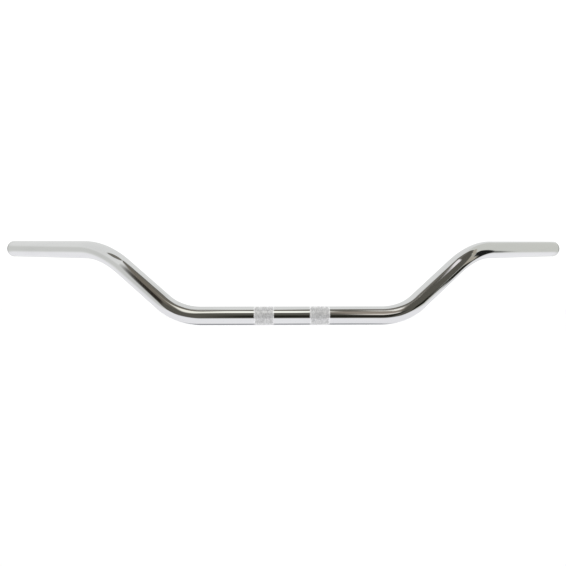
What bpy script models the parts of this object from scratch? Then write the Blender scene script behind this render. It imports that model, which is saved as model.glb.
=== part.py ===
"""Motorcycle handlebar: one bent, chrome-plated steel tube and a push-in plug in each of its ends.

The frame's origin is on the tube's axis, midway between the two knurled clamp bands. +X runs along
the clamp section to the right end, +Y towards the rider and +Z up. Lengths are metres.
"""
import math

import bmesh
import bpy
from mathutils import Matrix, Vector

# Tube stock, 7/8 inch
TUBE_DIAMETER = 0.0222
WALL = 0.0020
RIM_CHAMFER = 0.0004

# The run of one side, from the middle outwards
CENTRE_HALF_LENGTH = 0.107
LOWER_BEND_RADIUS = 0.0685
RISE_LENGTH = 0.0725
RISE_SLOPE = math.radians(38.0)  # above the clamp section, seen from the front
RISE_BACK_TILT = math.radians(22.5)  # out of the upright plane, towards the rider
UPPER_BEND_RADIUS = 0.113
GRIP_LENGTH = 0.171
GRIP_SWEEP = math.radians(39.25)  # towards the rider, seen from above

# Knurled clamp bands, rolled into the tube
BAND_SPACING = 0.0663
BAND_WIDTH = 0.0238
CREST_HEIGHT = 0.0001
ROOT_DEPTH = 0.0003

# Push-in end plug
FIT_GAP = 0.0003
HEAD_HEIGHT = 0.0036
HEAD_FLAT_RADIUS = 0.0062
HEAD_SKIRT_SHARE = 0.2  # of the head's height, straight-sided below the round shoulder
STEM_LENGTH = 0.024
STEM_RADIUS = 0.0078
STEM_NOSE = 0.0015
RIB_COUNT = 3
RIB_PITCH = 0.005
RIB_TIP_START = 0.1  # the rib's flat tip and its far foot, in shares of the pitch
RIB_TIP_END = 0.3
RIB_FOOT = 0.7
CORE_RADIUS = 0.0052
CORE_DEPTH = 0.019
CORE_CONE_HEIGHT = 0.0026

# Plating: linear colour, roughness
TUBE_PLATING = ((0.80, 0.80, 0.79), 0.05)
PLUG_PLATING = ((0.70, 0.70, 0.70), 0.12)

# Facets
TUBE_RESOLUTION = 7
TUBE_SIDES = 4 * (TUBE_RESOLUTION + 1)
BEND_STEPS = 9
BAND_ROWS = 10
PLUG_SIDES = 40
SHOULDER_STEPS = 6
SMOOTHED_BELOW = math.radians(25.0)
RIM_EDGE_ABOVE = math.radians(60.0)
MERGE_DISTANCE = 0.00001

TUBE_RADIUS = TUBE_DIAMETER / 2.0
BORE_RADIUS = TUBE_RADIUS - WALL
SIDES_OF_THE_BAR = {"left": -1.0, "right": 1.0}


def clear_scene():
    for old in list(bpy.data.objects):
        bpy.data.objects.remove(old, do_unlink=True)


def plated(name, colour, roughness):
    material = bpy.data.materials.new(name)
    material.use_nodes = True
    shader = material.node_tree.nodes["Principled BSDF"]
    shader.inputs["Base Color"].default_value = (*colour, 1.0)
    shader.inputs["Metallic"].default_value = 1.0
    shader.inputs["Roughness"].default_value = roughness
    return material


def rise_direction():
    return Vector((
        math.cos(RISE_BACK_TILT) * math.cos(RISE_SLOPE),
        math.sin(RISE_BACK_TILT),
        math.cos(RISE_BACK_TILT) * math.sin(RISE_SLOPE),
    ))


def grip_direction():
    return Vector((math.cos(GRIP_SWEEP), math.sin(GRIP_SWEEP), 0.0))


def bend(start, heading, new_heading, radius):
    """The points of an arc that leaves start along heading and ends along new_heading."""
    axis = heading.cross(new_heading).normalized()
    turn = heading.angle(new_heading)
    centre = start + radius * axis.cross(heading)
    arm = start - centre
    return [
        centre + Matrix.Rotation(turn * step / BEND_STEPS, 3, axis) @ arm
        for step in range(1, BEND_STEPS + 1)
    ]


def right_half_route():
    """The tube's axis from the inner edge of the right band to the right end."""
    along = Vector((1.0, 0.0, 0.0))
    band_start = (BAND_SPACING - BAND_WIDTH) / 2.0
    route = [along * (band_start + BAND_WIDTH * row / BAND_ROWS) for row in range(BAND_ROWS + 1)]
    route.append(along * CENTRE_HALF_LENGTH)
    route += bend(route[-1], along, rise_direction(), LOWER_BEND_RADIUS)
    route.append(route[-1] + RISE_LENGTH * rise_direction())
    route += bend(route[-1], rise_direction(), grip_direction(), UPPER_BEND_RADIUS)
    route.append(route[-1] + GRIP_LENGTH * grip_direction())
    return route


def mirrored(point):
    return Vector((-point.x, point.y, point.z))


def tube_shell(route):
    """The plain bent tube: a round curve along the route, given its wall by Solidify."""
    curve = bpy.data.curves.new("handlebar_tube_route", "CURVE")
    curve.dimensions = "3D"
    curve.bevel_depth = TUBE_RADIUS
    curve.bevel_resolution = TUBE_RESOLUTION
    curve.use_fill_caps = False
    spline = curve.splines.new("POLY")
    spline.points.add(len(route) - 1)
    for control, point in zip(spline.points, route):
        control.co = (*point, 1.0)
    pipe = bpy.data.objects.new("handlebar_tube_route", curve)
    bpy.context.scene.collection.objects.link(pipe)
    wall = pipe.modifiers.new("wall", "SOLIDIFY")
    wall.thickness = WALL
    wall.offset = -1.0
    wall.use_even_offset = True
    bpy.context.view_layer.update()
    evaluated = pipe.evaluated_get(bpy.context.evaluated_depsgraph_get())
    mesh = bpy.data.meshes.new_from_object(evaluated)
    mesh.name = "handlebar_tube"
    bpy.data.objects.remove(pipe, do_unlink=True)
    return mesh


def roll_knurl(mesh):
    """Raise and sink every other skin vertex of the two bands, which makes coarse diamonds."""
    band_start = (BAND_SPACING - BAND_WIDTH) / 2.0
    row_length = BAND_WIDTH / BAND_ROWS
    mid_wall = (TUBE_RADIUS + BORE_RADIUS) / 2.0
    for vertex in mesh.vertices:
        row = round((abs(vertex.co.x) - band_start) / row_length)
        outward = Vector((0.0, vertex.co.y, vertex.co.z))
        if not 0 < row < BAND_ROWS or outward.length < mid_wall:
            continue
        side = round(math.atan2(outward.z, outward.y) * TUBE_SIDES / (2.0 * math.pi))
        is_crest = (row + side) % 2 == 0
        vertex.co += outward.normalized() * (CREST_HEIGHT if is_crest else -ROOT_DEPTH)


def chamfer_rims(mesh):
    """Break the sharp edges at the tube's two mouths."""
    work = bmesh.new()
    work.from_mesh(mesh)
    rims = [
        edge for edge in work.edges
        if len(edge.link_faces) == 2 and edge.calc_face_angle() > RIM_EDGE_ABOVE
    ]
    bmesh.ops.bevel(
        work, geom=rims, offset=RIM_CHAMFER, segments=1, affect="EDGES", profile=0.5,
    )
    bmesh.ops.recalc_face_normals(work, faces=work.faces)
    work.to_mesh(mesh)
    work.free()


def add_tube(collection, material, route):
    mesh = tube_shell(route)
    chamfer_rims(mesh)
    roll_knurl(mesh)
    mesh.materials.clear()
    mesh.materials.append(material)
    mesh.shade_smooth()
    mesh.set_sharp_from_angle(angle=SMOOTHED_BELOW)
    tube = bpy.data.objects.new("handlebar_tube", mesh)
    collection.objects.link(tube)


def plug_profile():
    """Half of the plug's section, as (radius, height above the tube's end), from tip to core."""
    skirt = HEAD_SKIRT_SHARE * (HEAD_HEIGHT - FIT_GAP)
    crown = HEAD_HEIGHT - FIT_GAP - skirt
    shoulder = TUBE_RADIUS - HEAD_FLAT_RADIUS
    profile = [(0.0, HEAD_HEIGHT)]
    for step in range(SHOULDER_STEPS + 1):
        angle = math.pi / 2.0 * step / SHOULDER_STEPS
        profile.append((
            HEAD_FLAT_RADIUS + shoulder * math.sin(angle),
            FIT_GAP + skirt + crown * math.cos(angle),
        ))
    profile += [(TUBE_RADIUS, FIT_GAP), (STEM_RADIUS, FIT_GAP)]
    rib_tip = BORE_RADIUS - FIT_GAP
    for rib in range(RIB_COUNT):
        top = -RIB_PITCH * (rib + 1)
        profile += [
            (STEM_RADIUS, top),
            (rib_tip, top - RIB_TIP_START * RIB_PITCH),
            (rib_tip, top - RIB_TIP_END * RIB_PITCH),
            (STEM_RADIUS, top - RIB_FOOT * RIB_PITCH),
        ]
    profile += [
        (STEM_RADIUS, STEM_NOSE - STEM_LENGTH),
        (STEM_RADIUS - STEM_NOSE, -STEM_LENGTH),
        (CORE_RADIUS, -STEM_LENGTH),
        (CORE_RADIUS, CORE_DEPTH - STEM_LENGTH),
        (0.0, CORE_DEPTH - STEM_LENGTH + CORE_CONE_HEIGHT),
    ]
    return profile


def add_plug(collection, material, side, tube_end, outward):
    """A turned plug whose head closes the tube's mouth and whose ribbed stem sits in the bore."""
    profile = plug_profile()
    mesh = bpy.data.meshes.new("end_plug_" + side)
    mesh.from_pydata(
        [(radius, 0.0, height) for radius, height in profile],
        [(index, index + 1) for index in range(len(profile) - 1)],
        [],
    )
    mesh.materials.append(material)
    plug = bpy.data.objects.new("end_plug_" + side, mesh)
    turn = outward.to_track_quat("Z", "Y").to_matrix().to_4x4()
    plug.matrix_world = Matrix.Translation(tube_end) @ turn
    collection.objects.link(plug)
    turned = plug.modifiers.new("turned", "SCREW")
    turned.axis = "Z"
    turned.angle = 2.0 * math.pi
    turned.steps = PLUG_SIDES
    turned.render_steps = PLUG_SIDES
    turned.use_merge_vertices = True
    turned.merge_threshold = MERGE_DISTANCE
    turned.use_normal_calculate = False
    turned.use_smooth_shade = True


def main():
    clear_scene()
    collection = bpy.data.collections.new("motorcycle_handlebar")
    bpy.context.scene.collection.children.link(collection)
    right_half = right_half_route()
    left_half = [mirrored(point) for point in right_half]
    add_tube(
        collection,
        plated("tube_chrome", *TUBE_PLATING),
        left_half[::-1] + right_half,
    )
    plug_chrome = plated("plug_chrome", *PLUG_PLATING)
    for side, sign in SIDES_OF_THE_BAR.items():
        direction = grip_direction()
        direction.x *= sign
        end = right_half[-1] if side == "right" else left_half[-1]
        add_plug(collection, plug_chrome, side, end, direction)


main()
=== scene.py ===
"""The looks of a chrome-plated motorcycle handlebar.

It makes a fine bent tube with two bands of rolled diamonds, two turned end plugs, their plating, a
pale floor, and white light. Mirror reflections see boards, curtains and a table in place of the white.
"""
import math

import bpy
from mathutils import Matrix, Vector


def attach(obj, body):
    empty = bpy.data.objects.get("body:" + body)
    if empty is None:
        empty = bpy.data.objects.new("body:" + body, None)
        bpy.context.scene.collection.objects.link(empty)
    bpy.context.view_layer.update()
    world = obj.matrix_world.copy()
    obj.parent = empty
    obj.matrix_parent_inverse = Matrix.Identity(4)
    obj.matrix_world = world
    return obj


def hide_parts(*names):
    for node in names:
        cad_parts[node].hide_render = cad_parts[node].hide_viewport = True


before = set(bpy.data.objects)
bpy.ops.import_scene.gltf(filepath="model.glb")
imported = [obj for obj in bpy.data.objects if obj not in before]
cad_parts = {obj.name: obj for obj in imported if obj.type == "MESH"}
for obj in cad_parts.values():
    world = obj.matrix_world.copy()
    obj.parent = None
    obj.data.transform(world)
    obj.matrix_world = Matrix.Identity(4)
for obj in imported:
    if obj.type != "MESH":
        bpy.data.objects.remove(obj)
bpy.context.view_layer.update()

# The tube, as in the CAD model
TUBE_RADIUS = 0.0111
WALL = 0.0020
CENTRE_HALF_LENGTH = 0.107
LOWER_BEND_RADIUS = 0.0685
RISE_LENGTH = 0.0725
RISE_SLOPE = math.radians(38.0)
RISE_BACK_TILT = math.radians(22.5)
UPPER_BEND_RADIUS = 0.113
GRIP_LENGTH = 0.171
GRIP_SWEEP = math.radians(39.25)
BAND_SPACING = 0.0663
BAND_WIDTH = 0.0238
BORE_RADIUS = TUBE_RADIUS - WALL
BAND_START = (BAND_SPACING - BAND_WIDTH) / 2.0
BAND_END = BAND_START + BAND_WIDTH

# The plugs, as in the CAD model
FIT_GAP = 0.0003
HEAD_HEIGHT = 0.0036
HEAD_FLAT_RADIUS = 0.0062
STEM_LENGTH = 0.024
STEM_RADIUS = 0.0078
RIB_COUNT = 3
RIB_PITCH = 0.005
CORE_RADIUS = 0.0052
CORE_DEPTH = 0.019

# Finer than the CAD model
TUBE_SIDES = 120
BEND_STEPS = 44
STRAIGHT_STEP = 0.012
BEND_OVALITY = 0.02  # a bent tube is a little flatter in the plane of its bend
OVAL_SPREAD = 0.4  # how much of that it gains across the bend
RIM_ROUNDING = 0.0005
RIM_STEPS = 4
BAND_LIP = 0.0011
BAND_MARGIN = 0.0001  # in which the satin of a band gives way to the bright plating
BAND_ROWS = 38  # each half a diamond long, which is about as long as half a diamond is wide
CREST_RADIUS = TUBE_RADIUS + 0.00006
ROOT_RADIUS = TUBE_RADIUS - 0.00018
CREST_SHARE = 0.56  # how much of a diamond its flat top takes up
BORE_MARGIN = 0.0002  # within this of the bore's radius, the skin counts as bore
TUBE_SHARP_ABOVE = math.radians(24.0)
PLUG_SIDES = 120
PLUG_SHARP_ABOVE = math.radians(40.0)
HEAD_SKIRT_SHARE = 0.2  # of the head's height, straight-sided below the round shoulder
SHOULDER_STEPS = 16
EDGE_ROUNDING = 0.0003
EDGE_STEPS = 4
RIB_CENTRE = 0.2  # a rib's round tip and its far foot, in shares of the pitch
RIB_FOOT = 0.7
RIB_HALF_ARC = 60.0  # degrees
RIB_STEPS = 6
STEM_NOSE = 0.0015
STEM_NOSE_STEPS = 6
CORE_LIP = 0.0004
CORE_LIP_STEPS = 3
CORE_CONE_HEIGHT = 0.0026
RING_PITCH = 0.0016  # the faint turning rings on a plug's head
DIMPLE_RADIUS = 0.0016
DIMPLE_DEPTH = 0.0003
DIMPLE_STEPS = 6

# Colours, linear
CHROME = (0.80, 0.80, 0.79)
HAZED_CHROME = (0.75, 0.75, 0.745)
BAND_CREST = (0.92, 0.92, 0.92)
BAND_SHADE = (0.68, 0.68, 0.685)
# painted shade: the colour at the roots of the knurl's grooves, darker where shade falls in them
GROOVE_PAINTED_SHADE = (0.55, 0.55, 0.55)
BARE_STEEL = (0.32, 0.31, 0.30)
PLUG_CHROME = (0.74, 0.74, 0.74)
PLUG_SHADE = (0.66, 0.66, 0.665)
PLUG_RING = (0.54, 0.54, 0.55)
PALE_FLOOR = (0.95, 0.95, 0.95)
FLOOR_MOTTLE = 0.985  # how light the floor's darker patches are beside the rest

# How rough the finishes are, and how high their relief stands in metres
BRIGHT_ROUGHNESS = (0.025, 0.055)
BAND_EXTRA_ROUGHNESS = 0.14
BORE_EXTRA_ROUGHNESS = 0.35
BAND_METALLIC = 0.42
PLUG_ROUGHNESS = (0.08, 0.16)
FLOOR_ROUGHNESS = 0.9
RIPPLE_HEIGHT = 0.000012
POLISHING_HEIGHT = 0.0000003
RING_HEIGHT = 0.000006
ORANGE_PEEL_HEIGHT = 0.000004

# Where a noise, a groove or a ring starts to change the finish, and where the change is complete
HAZE_DULLS = (0.45, 0.75)
HAZE_ROUGHENS = (0.35, 0.75)
WEAR_SHADES = (0.42, 0.60)
# where the painted shade in the knurl's grooves starts and where it is complete
GROOVE_SHADE_RAMP = (0.3, 1.0)
PLUG_HAZE_ROUGHENS = (0.3, 0.7)
RING_DARKENS = (0.2, 1.0)
RING_STRENGTH = 0.8

# The noises, in cells per metre along the tube and across it, or along each axis
HAZE_GRAIN = (14.0, 60.0, 60.0)
POLISHING_GRAIN = (2600.0, 40.0, 40.0)
RIPPLE_GRAIN = (26.0, 30.0, 30.0)
WEAR_GRAIN = (700.0, 260.0, 260.0)
PLUG_HAZE_GRAIN = (160.0, 160.0, 160.0)
ORANGE_PEEL_GRAIN = (420.0, 420.0, 420.0)
FLOOR_GRAIN = (3.0, 3.0, 3.0)

# The camera
CAMERA_PLACE = Vector((-0.03241, -0.77252, 0.08831))
CAMERA_HEADING = math.radians(1.636)  # right of +Y
CAMERA_PITCH = math.radians(-3.636)
CAMERA_ROLL = math.radians(-0.04)
CAMERA_LENS = 41.34
CAMERA_SENSOR = 36.0

# The studio
WHITE_LIGHT = 1.1
FLOOR_DEPTH = 0.60
FLOOR_SIDE = 12.0

# What stands round the bar, as the plating sees it. Azimuths are degrees to the right of the
# camera's side, elevations degrees above the horizon. A side of a panel is one azimuth, or
# (elevation, azimuth) points. A later panel covers an earlier one.
BOARD_LIGHT = (0.82, 0.83, 0.83)
OPENING_LEFT = [(-28, -42), (-14, -53), (5, -57), (27, -47), (84, -16)]
OPENING_RIGHT = [(-24, 42), (0, 76), (17, 70), (40, 72), (66, 106)]
STUDIO = [
    dict(name="right board", left=60, right=145, bottom=-20, top=66, soft=8,
         light=(0.67, 0.68, 0.65)),
    dict(name="left board", left=-200, right=-40, bottom=-14, top=20, soft=8,
         light=(0.68, 0.69, 0.68)),
    dict(name="table", left=-200, right=200, top=-20, soft=6, light=(0.95, 0.95, 0.99)),
    dict(name="behind the table, right", left=155, right=200, bottom=-70, top=-38, soft=7,
         light=(0.25, 0.26, 0.28)),
    dict(name="behind the table, left", left=-200, right=-155, bottom=-70, top=-38, soft=7,
         light=(0.25, 0.26, 0.28)),
    dict(name="dark flag", left=[(50, -68), (84, -88)], right=[(50, -56), (84, -20)], bottom=51,
         top=86, soft=3, light=(0.20, 0.19, 0.17)),
    dict(name="opening", left=OPENING_LEFT, right=OPENING_RIGHT, bottom=-25, top=86, soft=2,
         soft_bottom=5, light=(0.11, 0.105, 0.09)),
    dict(name="beam over the opening", left=-14, right=110, bottom=66, top=84, soft=5,
         light=(0.18, 0.17, 0.15)),
    dict(name="brown curtain", left=OPENING_LEFT, right=[(30, -24), (72, -8)], bottom=36, top=74,
         soft=3, soft_bottom=10, light=(0.19, 0.17, 0.14)),
    dict(name="black curtain", left=OPENING_LEFT, right=[(12, -46), (36, -36)], bottom=12, top=52,
         soft=3, light=(0.03, 0.025, 0.02)),
    dict(name="black card", left=-4, right=[(-14, 24), (36, 48)], bottom=-16, top=12, soft=3,
         light=(0.02, 0.02, 0.015)),
    dict(name="brown wall", left=8, right=26, bottom=24, top=58, soft=3, light=(0.33, 0.29, 0.25)),
    dict(name="sill", left=9, right=[(12, 28), (20, 26), (27, 14)], bottom=13, top=26, soft=2,
         light=(0.85, 0.80, 0.75)),
    dict(name="lamp", left=-10, right=[(44, 6), (68, 14)], bottom=42, top=67, soft=3,
         light=(1.15, 1.15, 1.08)),
    dict(name="strip light", left=20, right=25, bottom=45, top=66, soft=1.5,
         light=(1.10, 1.08, 1.02)),
    dict(name="gap by the left curtain", left=-21, right=[(24, -16), (44, -5)], bottom=29, top=60,
         soft=3, soft_bottom=10, light=(1.05, 1.03, 0.95)),
    dict(name="gap by the right curtain", left=[(44, 41.5), (68, 32)], right=50, bottom=46, top=73,
         soft=2, soft_right=4, soft_top=5, light=(0.98, 0.94, 0.97)),
    dict(name="right curtain's edge", left=[(-16, 91), (0, 72), (12, 70), (40, 73), (54, 84)],
         right=[(-16, 100), (0, 83), (12, 75), (40, 81), (54, 97)], bottom=-15, top=54, soft=2,
         light=(0.45, 0.42, 0.36)),
    dict(name="black card on the right", left=[(-20, 99), (8, 77)], right=[(-20, 105), (26, 83)],
         bottom=-19, top=25, soft=1.5, light=(0.015, 0.015, 0.015)),
    dict(name="black card under the right curtain", left=48, right=[(-10, 75), (9, 58)], bottom=-10,
         top=8, soft=1.5, light=(0.015, 0.015, 0.01)),
    dict(name="black card low on the right", left=[(-22, 100), (-5, 66)],
         right=[(-22, 108), (-5, 77)], bottom=-21, top=-5, soft=1.5, light=(0.02, 0.02, 0.015)),
]


# ---------------------------------------------------------------- the tube's route

def rise_direction():
    return Vector((
        math.cos(RISE_BACK_TILT) * math.cos(RISE_SLOPE),
        math.sin(RISE_BACK_TILT),
        math.cos(RISE_BACK_TILT) * math.sin(RISE_SLOPE),
    ))


def grip_direction():
    return Vector((math.cos(GRIP_SWEEP), math.sin(GRIP_SWEEP), 0.0))


class Station:
    """One cross-section: its centre, the way the tube runs there, and how it is squashed."""

    def __init__(self, centre, along, inward=None, ovality=0.0):
        self.centre = centre
        self.along = along
        self.inward = inward
        self.ovality = ovality


def straight(start, along, length):
    """Sections spaced evenly after start, up to the end of a straight run."""
    count = max(1, round(length / STRAIGHT_STEP))
    return [Station(start + along * (length * step / count), along) for step in range(1, count + 1)]


def bend(start, heading, new_heading, radius):
    """Sections along an arc. The tube flattens towards the middle of the bend."""
    axis = heading.cross(new_heading).normalized()
    turn = heading.angle(new_heading)
    centre = start + radius * axis.cross(heading)
    arm = start - centre
    stations = []
    for step in range(1, BEND_STEPS + 1):
        share = step / BEND_STEPS
        turned = Matrix.Rotation(turn * share, 3, axis)
        spoke = turned @ arm
        ovality = BEND_OVALITY * math.sin(math.pi * share)
        stations.append(Station(centre + spoke, turned @ heading, -spoke.normalized(), ovality))
    return stations


def right_half():
    """Sections from just past the right band to just short of the right end."""
    along = Vector((1.0, 0.0, 0.0))
    stations = straight(along * BAND_END, along, CENTRE_HALF_LENGTH - BAND_END)
    stations += bend(stations[-1].centre, along, rise_direction(), LOWER_BEND_RADIUS)
    stations += straight(stations[-1].centre, rise_direction(), RISE_LENGTH)
    stations += bend(stations[-1].centre, rise_direction(), grip_direction(), UPPER_BEND_RADIUS)
    stations += straight(stations[-1].centre, grip_direction(), GRIP_LENGTH - RIM_ROUNDING)
    return stations


# ---------------------------------------------------------------- the tube's mesh

class Skin:
    """A mesh under construction.

    Each vertex also keeps where it was on the tube before bending, how deep it lies in a knurl's
    groove, and whether it is on a knurled band or in the bore.
    """

    def __init__(self):
        self.points = []
        self.unbent = []
        self.groove = []
        self.band = []
        self.bore = []
        self.faces = []

    def vertex(self, point, unbent, groove=0.0, band=0.0):
        self.points.append(point)
        self.unbent.append(unbent)
        self.groove.append(groove)
        self.band.append(band)
        self.bore.append(1.0 if math.hypot(unbent[1], unbent[2]) < BORE_RADIUS + BORE_MARGIN else 0.0)
        return len(self.points) - 1

    def ring(self, station, up, radius, reach, mirrored=False, band=0.0):
        """A ring of vertices round a section, from up on. Reach is its distance from the middle."""
        sideways = station.along.cross(up)
        side_sign = -1.0 if mirrored else 1.0
        ring = []
        for side in range(TUBE_SIDES):
            angle = 2.0 * math.pi * side / TUBE_SIDES
            offset = radius * (math.cos(angle) * up + math.sin(angle) * sideways)
            if station.inward is not None:
                depth = offset.dot(station.inward)
                squeeze = (1.0 + OVAL_SPREAD) * depth * station.inward
                offset += station.ovality * (OVAL_SPREAD * offset - squeeze)
            point = station.centre + offset
            point.x *= side_sign
            unbent = (side_sign * reach, radius * math.cos(angle), radius * math.sin(angle))
            ring.append(self.vertex(point, unbent, 0.0, band))
        return ring

    def join(self, first, second):
        """A band of quads between two rings, of which first comes first along the tube."""
        for side in range(TUBE_SIDES):
            after = (side + 1) % TUBE_SIDES
            self.faces.append((first[side], first[after], second[after], second[side]))

    def mesh(self, name):
        mesh = bpy.data.meshes.new(name)
        mesh.from_pydata(self.points, [], self.faces)
        for trait in ("groove", "band", "bore"):
            attribute = mesh.attributes.new(trait, "FLOAT", "POINT")
            attribute.data.foreach_set("value", getattr(self, trait))
        unbent = mesh.attributes.new("unbent", "FLOAT_VECTOR", "POINT")
        unbent.data.foreach_set("vector", [value for point in self.unbent for value in point])
        mesh.shade_smooth()
        mesh.set_sharp_from_angle(angle=TUBE_SHARP_ABOVE)
        return mesh


def knurl(skin, start_ring, start_x, up):
    """The diamonds of a band, rolled into the tube from start_ring on. Returns their last ring.

    Rows and sides count half diamonds. Grooves cross where row + side is even, and a diamond has its
    middle where it is odd. The grooves run out to nothing at both ends.
    """
    row_length = (BAND_WIDTH - 2.0 * BAND_LIP) / BAND_ROWS
    sideways = Vector((1.0, 0.0, 0.0)).cross(up)

    def place(row, side, radius, groove):
        angle = 2.0 * math.pi * side / TUBE_SIDES
        outward = math.cos(angle) * up + math.sin(angle) * sideways
        x = start_x + row * row_length
        unbent = (x, radius * math.cos(angle), radius * math.sin(angle))
        return skin.vertex(Vector((x, 0.0, 0.0)) + radius * outward, unbent, groove, 1.0)

    end_ring = [place(BAND_ROWS, side, TUBE_RADIUS, 0.0) for side in range(TUBE_SIDES)]
    crossings = {}
    for side in range(TUBE_SIDES):
        crossings[0, side] = start_ring[side]
        crossings[BAND_ROWS, side] = end_ring[side]
    for row in range(1, BAND_ROWS):
        for side in range(row % 2, TUBE_SIDES, 2):
            crossings[row, side] = place(row, side, ROOT_RADIUS, 1.0)
    around = [(-1, 0), (0, 1), (1, 0), (0, -1)]
    for row in range(1, BAND_ROWS):
        for side in range((row + 1) % 2, TUBE_SIDES, 2):
            corners = [crossings[row + on, (side + over) % TUBE_SIDES] for on, over in around]
            top = [
                place(row + CREST_SHARE * on, side + CREST_SHARE * over, CREST_RADIUS, 0.0)
                for on, over in around
            ]
            skin.faces.append(tuple(top))
            for here in range(4):
                after = (here + 1) % 4
                skin.faces.append((corners[here], corners[after], top[after], top[here]))
    for side in range(1, TUBE_SIDES, 2):
        before = side - 1
        after = (side + 1) % TUBE_SIDES
        first = crossings[1, side]
        skin.faces.append((start_ring[before], start_ring[side], first))
        skin.faces.append((start_ring[side], start_ring[after], first))
        last = crossings[BAND_ROWS - 1, side]
        skin.faces.append((end_ring[side], end_ring[before], last))
        skin.faces.append((end_ring[after], end_ring[side], last))
    return end_ring


def knurled_band(skin, start_x, up):
    """A band with a plain lip at both edges and the bright tube beyond. Returns its outer rings."""
    along = Vector((1.0, 0.0, 0.0))

    def ring_at(x, band):
        return skin.ring(Station(along * x, along), up, TUBE_RADIUS, x, band=band)

    end_x = start_x + BAND_WIDTH
    bright_start = ring_at(start_x - BAND_MARGIN, 0.0)
    lip_start = ring_at(start_x, 1.0)
    diamonds_start = ring_at(start_x + BAND_LIP, 1.0)
    skin.join(bright_start, lip_start)
    skin.join(lip_start, diamonds_start)
    diamonds_end = knurl(skin, diamonds_start, start_x + BAND_LIP, up)
    lip_end = ring_at(end_x, 1.0)
    bright_end = ring_at(end_x + BAND_MARGIN, 0.0)
    skin.join(diamonds_end, lip_end)
    skin.join(lip_end, bright_end)
    return bright_start, bright_end


def rim_profile():
    """The rounded mouth from outside to bore, as (radius, reach past the last section)."""
    outer = TUBE_RADIUS - RIM_ROUNDING
    inner = BORE_RADIUS + RIM_ROUNDING
    quarter = [math.pi / 2.0 * step / RIM_STEPS for step in range(1, RIM_STEPS + 1)]
    profile = [
        (outer + RIM_ROUNDING * math.cos(angle), RIM_ROUNDING * math.sin(angle)) for angle in quarter
    ]
    profile.append((inner, RIM_ROUNDING))
    profile += [
        (inner - RIM_ROUNDING * math.sin(angle), RIM_ROUNDING * math.cos(angle)) for angle in quarter
    ]
    return profile


def run_out(skin, stations, first_ring, mirrored):
    """Skin from a band's outer edge to the end, round the rim and back through the bore."""

    def connect(near, far):
        if mirrored:
            skin.join(far, near)
        else:
            skin.join(near, far)

    middle = Station(Vector((BAND_END, 0.0, 0.0)), Vector((1.0, 0.0, 0.0)))
    up = Vector((0.0, 0.0, 1.0))
    outline = [(middle, up, BAND_END)]
    for station in stations:
        last, up, reach = outline[-1]
        up = last.along.rotation_difference(station.along) @ up
        outline.append((station, up, reach + (station.centre - last.centre).length))
    ring = first_ring
    for station, up, reach in outline[1:]:
        new_ring = skin.ring(station, up, TUBE_RADIUS, reach, mirrored)
        connect(ring, new_ring)
        ring = new_ring
    end, up, reach = outline[-1]
    for radius, past in rim_profile():
        lip = Station(end.centre + end.along * past, end.along)
        new_ring = skin.ring(lip, up, radius, reach + past, mirrored)
        connect(ring, new_ring)
        ring = new_ring
    for station, up, reach in reversed(outline[:-1]):
        new_ring = skin.ring(station, up, BORE_RADIUS, reach, mirrored)
        connect(ring, new_ring)
        ring = new_ring
    return ring


def build_tube():
    """The whole tube as one closed skin: the outside, both rims and the bore."""
    skin = Skin()
    along = Vector((1.0, 0.0, 0.0))
    up = Vector((0.0, 0.0, 1.0))
    left_edge, ring = knurled_band(skin, -BAND_END, up)
    right_band_start, right_edge = knurled_band(skin, BAND_START, up)
    for share in (-0.5, 0.0, 0.5):
        x = share * BAND_START
        new_ring = skin.ring(Station(along * x, along), up, TUBE_RADIUS, x)
        skin.join(ring, new_ring)
        ring = new_ring
    skin.join(ring, right_band_start)
    half = right_half()
    right_bore = run_out(skin, half, right_edge, False)
    left_bore = run_out(skin, half, left_edge, True)
    skin.join(right_bore, left_bore)
    return skin.mesh("chrome_tube")


# ---------------------------------------------------------------- the end plugs

def arc(centre, radius, start, end, steps):
    """Points (radius, height) on an arc, both ends included. Angles are degrees from outward."""
    points = []
    for step in range(steps + 1):
        angle = math.radians(start + (end - start) * step / steps)
        points.append((centre[0] + radius * math.cos(angle), centre[1] + radius * math.sin(angle)))
    return points


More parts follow.
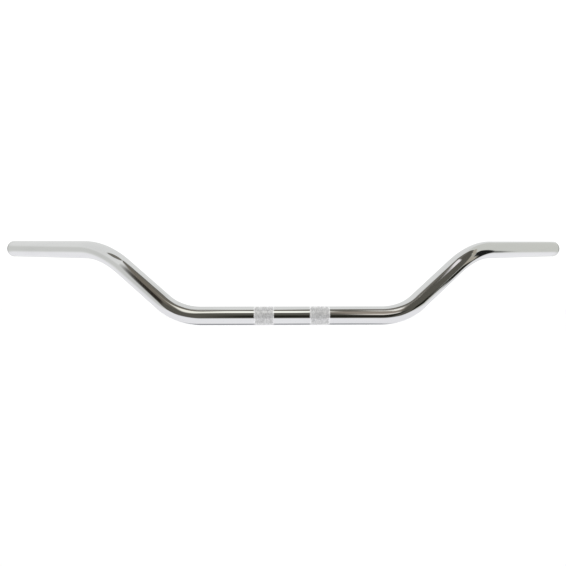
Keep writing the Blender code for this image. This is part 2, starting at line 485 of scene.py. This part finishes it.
def plug_profile():
    """Half of the plug's section, as (radius, height above the tube's end), from tip to core."""
    shoulder = TUBE_RADIUS - HEAD_FLAT_RADIUS
    skirt = HEAD_SKIRT_SHARE * (HEAD_HEIGHT - FIT_GAP)
    crown = HEAD_HEIGHT - FIT_GAP - skirt
    profile = [(0.0, HEAD_HEIGHT - DIMPLE_DEPTH)]
    for step in range(1, DIMPLE_STEPS + 1):
        share = step / DIMPLE_STEPS
        sunk = DIMPLE_DEPTH * (0.5 + 0.5 * math.cos(math.pi * share))
        profile.append((DIMPLE_RADIUS * share, HEAD_HEIGHT - sunk))
    for step in range(SHOULDER_STEPS + 1):
        angle = math.pi / 2.0 * step / SHOULDER_STEPS
        profile.append((
            HEAD_FLAT_RADIUS + shoulder * math.sin(angle),
            FIT_GAP + skirt + crown * math.cos(angle),
        ))
    edge_centre = (TUBE_RADIUS - EDGE_ROUNDING, FIT_GAP + EDGE_ROUNDING)
    profile += arc(edge_centre, EDGE_ROUNDING, 0.0, -90.0, EDGE_STEPS)
    profile.append((STEM_RADIUS, FIT_GAP))
    rib_tip = BORE_RADIUS - FIT_GAP
    rib_depth = rib_tip - STEM_RADIUS
    for rib in range(RIB_COUNT):
        top = -RIB_PITCH * (rib + 1)
        profile.append((STEM_RADIUS, top))
        rib_centre = (STEM_RADIUS + rib_depth / 2.0, top - RIB_CENTRE * RIB_PITCH)
        profile += arc(rib_centre, rib_depth / 2.0, RIB_HALF_ARC, -RIB_HALF_ARC, RIB_STEPS)
        profile.append((STEM_RADIUS, top - RIB_FOOT * RIB_PITCH))
    nose_centre = (STEM_RADIUS - STEM_NOSE, STEM_NOSE - STEM_LENGTH)
    profile += arc(nose_centre, STEM_NOSE, 0.0, -90.0, STEM_NOSE_STEPS)
    lip_centre = (CORE_RADIUS + CORE_LIP, CORE_LIP - STEM_LENGTH)
    profile += arc(lip_centre, CORE_LIP, -90.0, -180.0, CORE_LIP_STEPS)
    profile += [
        (CORE_RADIUS, CORE_DEPTH - STEM_LENGTH),
        (0.0, CORE_DEPTH - STEM_LENGTH + CORE_CONE_HEIGHT),
    ]
    return profile


def build_plug(name):
    """The profile turned round its own axis, closed at both ends by a fan."""
    profile = plug_profile()
    points = [(0.0, 0.0, profile[0][1])]
    faces = []
    rings = []
    for radius, height in profile[1:-1]:
        rings.append(len(points))
        for side in range(PLUG_SIDES):
            angle = 2.0 * math.pi * side / PLUG_SIDES
            points.append((radius * math.cos(angle), radius * math.sin(angle), height))
    bottom = len(points)
    points.append((0.0, 0.0, profile[-1][1]))
    for side in range(PLUG_SIDES):
        after = (side + 1) % PLUG_SIDES
        faces.append((0, rings[0] + side, rings[0] + after))
        for upper, lower in zip(rings, rings[1:]):
            faces.append((upper + side, lower + side, lower + after, upper + after))
        faces.append((bottom, rings[-1] + after, rings[-1] + side))
    mesh = bpy.data.meshes.new(name)
    mesh.from_pydata(points, [], faces)
    turned = mesh.attributes.new("turned", "FLOAT_VECTOR", "POINT")
    turned.data.foreach_set("vector", [value for point in points for value in point])
    mesh.shade_smooth()
    mesh.set_sharp_from_angle(angle=PLUG_SHARP_ABOVE)
    return mesh


# ---------------------------------------------------------------- materials

def add_node(tree, kind, inputs=None, **settings):
    """A node with its settings, and with inputs that are either linked to a socket or set."""
    node = tree.nodes.new(kind)
    for name, value in settings.items():
        setattr(node, name, value)
    for key, value in (inputs or {}).items():
        if isinstance(value, bpy.types.NodeSocket):
            tree.links.new(value, node.inputs[key])
        else:
            node.inputs[key].default_value = value
    return node


def calculate(tree, operation, first, second=0.0):
    return add_node(tree, "ShaderNodeMath", {0: first, 1: second}, operation=operation).outputs[0]


def blend_colours(tree, factor, under, over):
    """Under where factor is 0, over where it is 1. Colours are sockets or linear triples."""
    node = add_node(tree, "ShaderNodeMix", {0: factor}, data_type="RGBA")
    for index, colour in ((6, under), (7, over)):
        if isinstance(colour, bpy.types.NodeSocket):
            tree.links.new(colour, node.inputs[index])
        else:
            node.inputs[index].default_value = (*colour, 1.0)
    return node.outputs[2]


def remap(tree, value, low, high, new_low, new_high, shape="LINEAR"):
    inputs = {0: value, 1: low, 2: high, 3: new_low, 4: new_high}
    return add_node(tree, "ShaderNodeMapRange", inputs, interpolation_type=shape).outputs[0]


def stretched_noise(tree, coordinates, grain, detail):
    """Noise of the given number of cells per metre along each axis."""
    scaled = add_node(tree, "ShaderNodeVectorMath", {0: coordinates, 1: grain}, operation="MULTIPLY")
    inputs = {"Vector": scaled.outputs[0], "Scale": 1.0, "Detail": detail}
    return add_node(tree, "ShaderNodeTexNoise", inputs).outputs[0]


def new_material(name):
    material = bpy.data.materials.new(name)
    material.use_nodes = True
    tree = material.node_tree
    shader = tree.nodes["Principled BSDF"]
    shader.inputs["Metallic"].default_value = 1.0
    return material, tree, shader


def field(tree, name, output="Fac"):
    node = add_node(tree, "ShaderNodeAttribute", attribute_name=name)
    return node.outputs[output]


def tube_plating():
    """Bright chrome with a faint haze and polishing lines, satin on the bands, bare in the bore."""
    material, tree, shader = new_material("tube_chrome")
    unbent = field(tree, "unbent", "Vector")
    groove = field(tree, "groove")
    band = field(tree, "band")
    bore = field(tree, "bore")
    haze = stretched_noise(tree, unbent, HAZE_GRAIN, detail=3.0)
    lines = stretched_noise(tree, unbent, POLISHING_GRAIN, detail=2.0)
    ripple = stretched_noise(tree, unbent, RIPPLE_GRAIN, detail=1.0)

    clean_to_hazed = remap(tree, haze, *HAZE_DULLS, 0.0, 1.0)
    colour = blend_colours(tree, clean_to_hazed, CHROME, HAZED_CHROME)
    worn = stretched_noise(tree, unbent, WEAR_GRAIN, detail=2.0)
    knurled = blend_colours(tree, remap(tree, worn, *WEAR_SHADES, 0.0, 1.0), BAND_CREST, BAND_SHADE)
    # Painted shade: the band's colour darkens towards the roots of its grooves.
    groove_shade = remap(tree, groove, *GROOVE_SHADE_RAMP, 0.0, 1.0)
    knurled = blend_colours(tree, groove_shade, knurled, GROOVE_PAINTED_SHADE)
    colour = blend_colours(tree, band, colour, knurled)
    colour = blend_colours(tree, bore, colour, BARE_STEEL)
    tree.links.new(colour, shader.inputs["Base Color"])

    roughness = remap(tree, haze, *HAZE_ROUGHENS, *BRIGHT_ROUGHNESS)
    band_roughness = calculate(tree, "MULTIPLY", band, BAND_EXTRA_ROUGHNESS)
    bore_roughness = calculate(tree, "MULTIPLY", bore, BORE_EXTRA_ROUGHNESS)
    roughness = calculate(tree, "ADD", roughness, band_roughness)
    roughness = calculate(tree, "ADD", roughness, bore_roughness)
    tree.links.new(roughness, shader.inputs["Roughness"])

    tree.links.new(remap(tree, band, 0.0, 1.0, 1.0, BAND_METALLIC), shader.inputs["Metallic"])

    height = calculate(tree, "MULTIPLY", ripple, RIPPLE_HEIGHT)
    height = calculate(tree, "ADD", height, calculate(tree, "MULTIPLY", lines, POLISHING_HEIGHT))
    bump = add_node(tree, "ShaderNodeBump", {"Height": height, "Strength": 1.0, "Distance": 1.0})
    tree.links.new(bump.outputs[0], shader.inputs["Normal"])
    return material


def plug_plating():
    """Chromed plastic: softer than the tube's plating, with the faint rings of a turned mould."""
    material, tree, shader = new_material("plug_chrome")
    place = field(tree, "turned", "Vector")
    haze = stretched_noise(tree, place, PLUG_HAZE_GRAIN, detail=3.0)
    across = {0: place, 1: (1.0, 1.0, 0.0)}
    off_axis = add_node(tree, "ShaderNodeVectorMath", across, operation="MULTIPLY").outputs[0]
    radius = add_node(tree, "ShaderNodeVectorMath", {0: off_axis}, operation="LENGTH").outputs["Value"]
    wave = calculate(tree, "SINE", calculate(tree, "MULTIPLY", radius, 2.0 * math.pi / RING_PITCH))
    colour = blend_colours(tree, haze, PLUG_CHROME, PLUG_SHADE)
    ringed = remap(tree, wave, *RING_DARKENS, 0.0, RING_STRENGTH)
    colour = blend_colours(tree, ringed, colour, PLUG_RING)
    tree.links.new(colour, shader.inputs["Base Color"])
    roughness = remap(tree, haze, *PLUG_HAZE_ROUGHENS, *PLUG_ROUGHNESS)
    tree.links.new(roughness, shader.inputs["Roughness"])
    orange_peel = stretched_noise(tree, place, ORANGE_PEEL_GRAIN, detail=1.0)
    height = calculate(tree, "MULTIPLY", orange_peel, ORANGE_PEEL_HEIGHT)
    height = calculate(tree, "ADD", height, calculate(tree, "MULTIPLY", wave, RING_HEIGHT))
    bump = add_node(tree, "ShaderNodeBump", {"Height": height, "Strength": 1.0, "Distance": 1.0})
    tree.links.new(bump.outputs[0], shader.inputs["Normal"])
    return material


def floor_paint():
    """Matt pale paint with a trace of mottling."""
    material, tree, shader = new_material("pale_floor")
    shader.inputs["Metallic"].default_value = 0.0
    shader.inputs["Roughness"].default_value = FLOOR_ROUGHNESS
    place = add_node(tree, "ShaderNodeTexCoord").outputs["Object"]
    mottle = stretched_noise(tree, place, FLOOR_GRAIN, detail=4.0)
    shade = tuple(FLOOR_MOTTLE * level for level in PALE_FLOOR)
    tree.links.new(blend_colours(tree, mottle, PALE_FLOOR, shade), shader.inputs["Base Color"])
    return material


# ---------------------------------------------------------------- the studio

def panel_side(tree, elevation, side):
    """The azimuth of a panel's side at each elevation: a number, or a line through its points."""
    if not isinstance(side, list):
        return side
    points = sorted(((height + 90.0) / 180.0, (azimuth + 180.0) / 360.0) for height, azimuth in side)
    node = add_node(tree, "ShaderNodeFloatCurve", {1: remap(tree, elevation, -90.0, 90.0, 0.0, 1.0)})
    curve = node.mapping.curves[0]
    curve.points[0].location = (0.0, points[0][1])
    curve.points[1].location = (1.0, points[-1][1])
    for location in points:
        curve.points.new(*location)
    for point in curve.points:
        point.handle_type = "VECTOR"
    node.mapping.update()
    return remap(tree, node.outputs[0], 0.0, 1.0, -180.0, 180.0)


def panel_cover(tree, azimuth, elevation, panel):
    """1 inside a panel and 0 outside it, with a soft edge."""
    cover = 1.0
    soft = panel["soft"]
    left = calculate(tree, "SUBTRACT", azimuth, panel_side(tree, elevation, panel["left"]))
    right = calculate(tree, "SUBTRACT", panel_side(tree, elevation, panel["right"]), azimuth)
    inside = [(left, panel.get("soft_left", soft)), (right, panel.get("soft_right", soft))]
    if "bottom" in panel:
        inside.append((
            calculate(tree, "SUBTRACT", elevation, panel["bottom"]), panel.get("soft_bottom", soft),
        ))
    if "top" in panel:
        inside.append((calculate(tree, "SUBTRACT", panel["top"], elevation), panel.get("soft_top", soft)))
    for distance, softness in inside:
        part = remap(tree, distance, -softness, softness, 0.0, 1.0, "SMOOTHSTEP")
        cover = calculate(tree, "MULTIPLY", part, cover)
    return cover


def build_studio():
    """White light all round, in which only mirrors see the studio's panels."""
    world = bpy.data.worlds.new("studio")
    world.use_nodes = True
    tree = world.node_tree
    tree.nodes.clear()
    sight = add_node(tree, "ShaderNodeTexCoord").outputs["Generated"]
    parts = add_node(tree, "ShaderNodeSeparateXYZ", {0: sight}).outputs
    towards_camera = calculate(tree, "MULTIPLY", parts[1], -1.0)
    degrees = 180.0 / math.pi
    azimuth = calculate(tree, "MULTIPLY", calculate(tree, "ARCTAN2", parts[0], towards_camera), degrees)
    elevation = calculate(tree, "MULTIPLY", calculate(tree, "ARCSINE", parts[2]), degrees)
    light = BOARD_LIGHT
    for panel in STUDIO:
        light = blend_colours(tree, panel_cover(tree, azimuth, elevation, panel), light, panel["light"])
    mirrored = add_node(tree, "ShaderNodeBackground", {0: light, 1: 1.0})
    white = add_node(tree, "ShaderNodeBackground", {0: (1.0, 1.0, 1.0, 1.0), 1: WHITE_LIGHT})
    is_mirrored = add_node(tree, "ShaderNodeLightPath").outputs["Is Glossy Ray"]
    seen = {0: is_mirrored, 1: white.outputs[0], 2: mirrored.outputs[0]}
    either = add_node(tree, "ShaderNodeMixShader", seen)
    output = add_node(tree, "ShaderNodeOutputWorld", {"Surface": either.outputs[0]})
    output.is_active_output = True
    bpy.context.scene.world = world


def build_floor():
    """A plain pale floor far below the bar, which mirrors look through to the studio."""
    half = FLOOR_SIDE / 2.0
    mesh = bpy.data.meshes.new("floor")
    corners = [(-half, -half, 0.0), (half, -half, 0.0), (half, half, 0.0), (-half, half, 0.0)]
    mesh.from_pydata(corners, [], [(0, 1, 2, 3)])
    mesh.materials.append(floor_paint())
    floor = bpy.data.objects.new("floor", mesh)
    floor.location.z = -FLOOR_DEPTH
    floor.visible_glossy = False
    bpy.context.scene.collection.objects.link(floor)


def build_camera():
    data = bpy.data.cameras.new("camera")
    data.lens = CAMERA_LENS
    data.sensor_width = CAMERA_SENSOR
    camera = bpy.data.objects.new("camera", data)
    camera.location = CAMERA_PLACE
    camera.rotation_euler = (math.radians(90.0) + CAMERA_PITCH, CAMERA_ROLL, -CAMERA_HEADING)
    bpy.context.scene.collection.objects.link(camera)
    bpy.context.scene.camera = camera


# ---------------------------------------------------------------- the bar

def add_piece(name, mesh, material, node):
    """A piece that rides on the bar, stands for a CAD node and takes the material it is given."""
    mesh.materials.append(material)
    piece = bpy.data.objects.new(name, mesh)
    bpy.context.scene.collection.objects.link(piece)
    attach(piece, "root")
    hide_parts(node)
    return piece


def build_bar():
    add_piece("chrome_tube", build_tube(), tube_plating(), "handlebar_tube")
    last = right_half()[-1]
    end = last.centre + last.along * RIM_ROUNDING
    plating = plug_plating()
    for side, sign in (("left", -1.0), ("right", 1.0)):
        node = "end_plug_" + side
        mesh = build_plug("chrome_plug_" + side)
        outward = Vector((sign * last.along.x, last.along.y, last.along.z))
        place = Vector((sign * end.x, end.y, end.z))
        turn = outward.to_track_quat("Z", "Y").to_matrix().to_4x4()
        mesh.transform(Matrix.Translation(place) @ turn)
        add_piece("chrome_plug_" + side, mesh, plating, node)


build_studio()
build_floor()
build_camera()
build_bar()

bpy.context.scene.view_settings.view_transform = "Standard"
